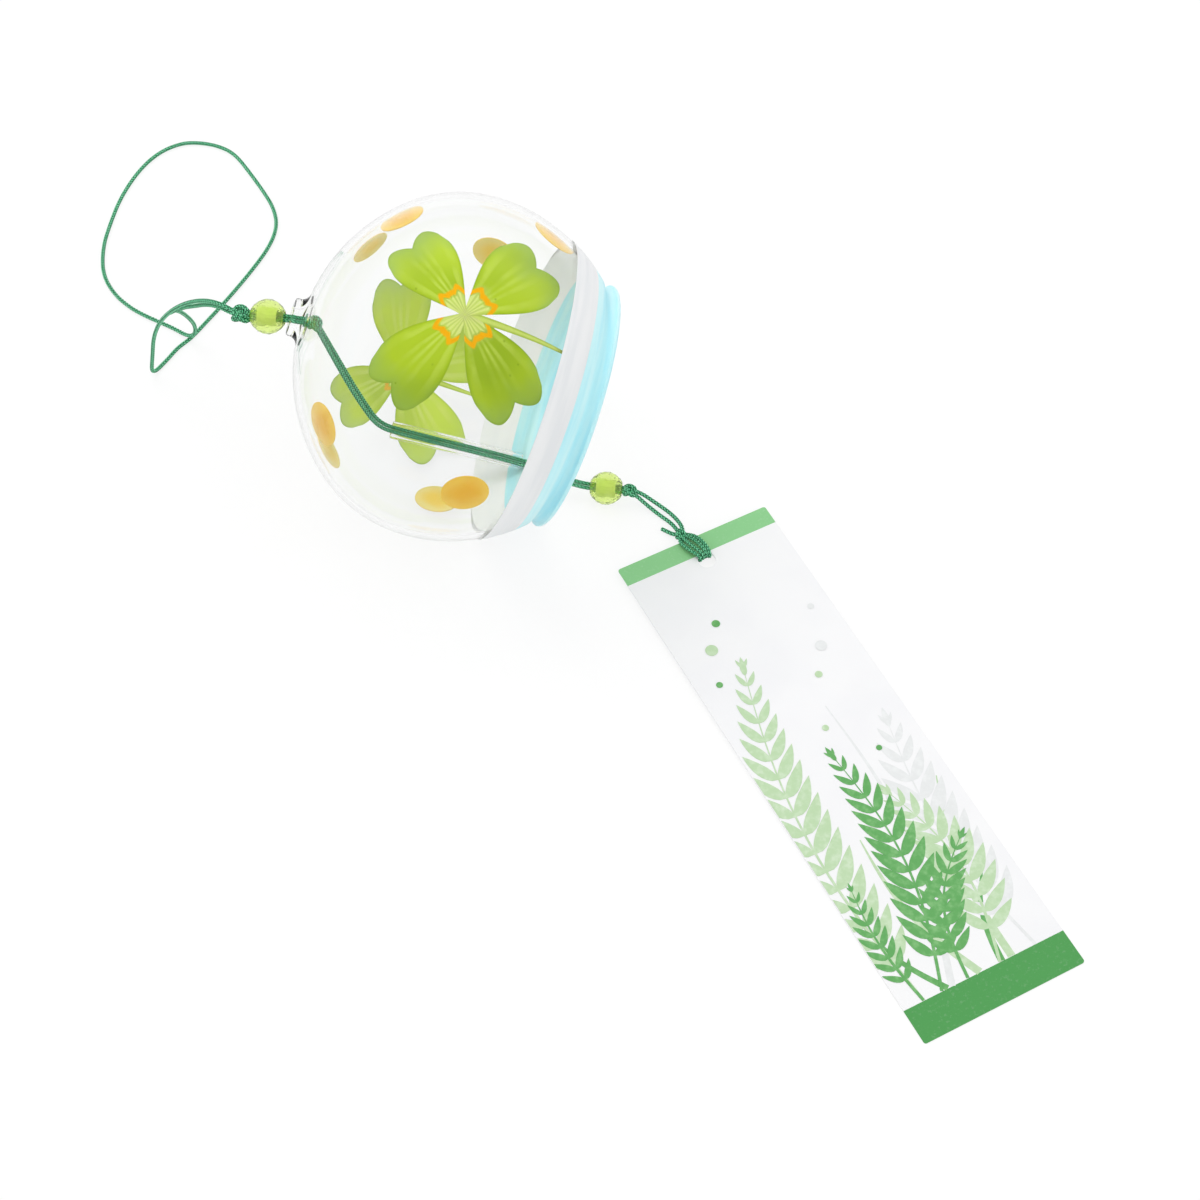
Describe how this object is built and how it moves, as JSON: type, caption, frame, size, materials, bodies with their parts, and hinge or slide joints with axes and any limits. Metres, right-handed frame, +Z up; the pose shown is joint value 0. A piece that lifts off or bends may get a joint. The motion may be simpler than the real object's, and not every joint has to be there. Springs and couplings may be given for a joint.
{
  "type": "glass wind bell",
  "caption": "Round blown-glass wind bell on a braided cord, with a hanging loop, faceted beads, a glass clapper tube and a paper strip that catches the wind.",
  "frame": {"origin": "on the table, under the middle of the bell, beads and strip as they lie", "axes": "+X along the bell's heading from its neck to its mouth, +Z up from the table"},
  "size_m": [0.2539, 0.2412, 0.0795],
  "materials": {
    "bell_glass": "clear blown glass with paint on its inner wall",
    "tube_glass": "clear drawn glass",
    "bead": "clear lime acrylic, faceted and polished",
    "cord": "green braided cord",
    "strip_paper": "smooth white card with a green print"
  },
  "bodies": {
    "hanger": {"hanging_loop": "cord", "top_knot": "cord"},
    "neck_cord": {"neck_strand_far": "cord", "neck_strand_near": "cord", "neck_knot": "cord"},
    "upper_bead": {"upper_bead": "bead"},
    "bell": {"glass_bell": "bell_glass"},
    "clapper_cord": {"inner_strand_far": "cord", "inner_strand_near": "cord", "lower_knot": "cord"},
    "clapper_tube": {"clapper_tube": "tube_glass"},
    "lower_bead": {"lower_bead": "bead"},
    "tail_cord": {"tail_strand_long": "cord", "tail_strand_short": "cord", "tie_knot": "cord", "tie_tail": "cord"},
    "strip": {"paper_strip": "strip_paper", "tie_turn_left": "cord", "tie_turn_right": "cord"}
  },
  "joints": [
    {"name": "bell_swing", "type": "hinge", "parent": "hanger", "child": "neck_cord", "pos_m": [-0.1003, 0.0485, 0.0522], "axis": [0, 0, 1], "range_deg": [-30, 30]},
    {"name": "upper_bead_spin", "type": "hinge", "parent": "neck_cord", "child": "upper_bead", "pos_m": [-0.0943, 0.0485, 0.0522], "axis": [1, 0, 0], "continuous": true},
    {"name": "bell_spin", "type": "hinge", "parent": "neck_cord", "child": "bell", "pos_m": [-0.0533, 0.0485, 0.04], "axis": [0.9397, 0, -0.342], "continuous": true},
    {"name": "clapper_swing", "type": "hinge", "parent": "neck_cord", "child": "clapper_cord", "pos_m": [-0.08262, 0.0485, 0.05067], "axis": [0, -1, 0], "range_deg": [0, 40]},
    {"name": "tube_spin", "type": "hinge", "parent": "clapper_cord", "child": "clapper_tube", "pos_m": [-0.0365, 0.0485, 0.0065], "axis": [0.9677, 0, -0.252], "continuous": true},
    {"name": "lower_bead_spin", "type": "hinge", "parent": "clapper_cord", "child": "lower_bead", "pos_m": [-0.0169, 0.04505, 0.004], "axis": [1, 0, 0], "continuous": true},
    {"name": "tail_swing", "type": "hinge", "parent": "clapper_cord", "child": "tail_cord", "pos_m": [-0.0112, 0.045, 0.0038], "axis": [0, 0, 1], "range_deg": [-25, 25]},
    {"name": "strip_flap", "type": "hinge", "parent": "tail_cord", "child": "strip", "pos_m": [0.002, 0.0349, 0.0016], "axis": [-0.8274, -0.5616, 0], "range_deg": [0, 70]}
  ]
}
